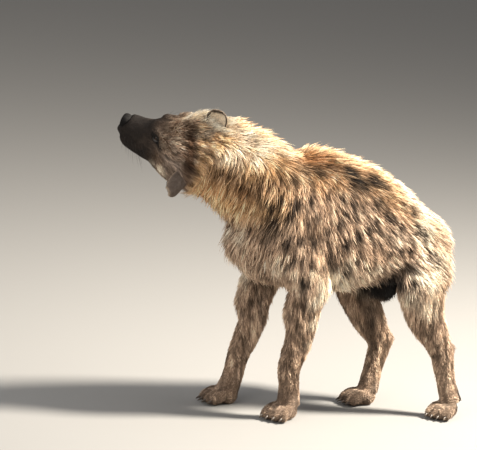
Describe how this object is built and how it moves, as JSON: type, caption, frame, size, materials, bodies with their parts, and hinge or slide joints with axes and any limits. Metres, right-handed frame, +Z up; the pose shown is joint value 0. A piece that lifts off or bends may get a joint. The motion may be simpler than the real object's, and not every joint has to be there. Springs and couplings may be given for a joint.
{
  "type": "spotted hyena",
  "caption": "Life-size still model of a standing spotted hyena, neck stretched forward, head turned to its right and tilted, ears out to the sides, short tail hanging",
  "frame": {"origin": "on the floor under the middle of the model's box", "axes": "X from the head towards the tail, Y towards the animal's right, Z up"},
  "size_m": [1.1008, 0.5236, 0.9549],
  "materials": {
    "body_coat": "coarse sandy-buff fur with dark brown spots",
    "face_coat": "short fur, brown-black on the muzzle and grey-brown on the cheeks",
    "leg_coat": "short grey-brown fur with dark blotches, darker on the paws",
    "tail_hair": "long bristly blackish-brown hair",
    "ear_skin": "very short grey-brown fur over thin skin",
    "nose_skin": "moist, pebbled black skin",
    "eye": "wet dark brown eye",
    "claw": "blunt dark horn"
  },
  "bodies": {
    "root": {"torso": "body_coat", "neck": "body_coat", "head": "face_coat", "tail": "tail_hair", "nose": "nose_skin", "ear_left": "ear_skin", "ear_right": "ear_skin", "eye_left": "eye", "eye_right": "eye", "front_left_upper": "body_coat", "front_left_lower": "leg_coat", "front_left_paw": "leg_coat", "front_right_upper": "body_coat", "front_right_lower": "leg_coat", "front_right_paw": "leg_coat", "hind_left_upper": "body_coat", "hind_left_lower": "leg_coat", "hind_left_paw": "leg_coat", "hind_right_upper": "body_coat", "hind_right_lower": "leg_coat", "hind_right_paw": "leg_coat", "claw_front_left_1": "claw", "claw_front_left_2": "claw", "claw_front_left_3": "claw", "claw_front_left_4": "claw", "claw_front_right_1": "claw", "claw_front_right_2": "claw", "claw_front_right_3": "claw", "claw_front_right_4": "claw", "claw_hind_left_1": "claw", "claw_hind_left_2": "claw", "claw_hind_left_3": "claw", "claw_hind_left_4": "claw", "claw_hind_right_1": "claw", "claw_hind_right_2": "claw", "claw_hind_right_3": "claw", "claw_hind_right_4": "claw"}
  },
  "joints": []
}
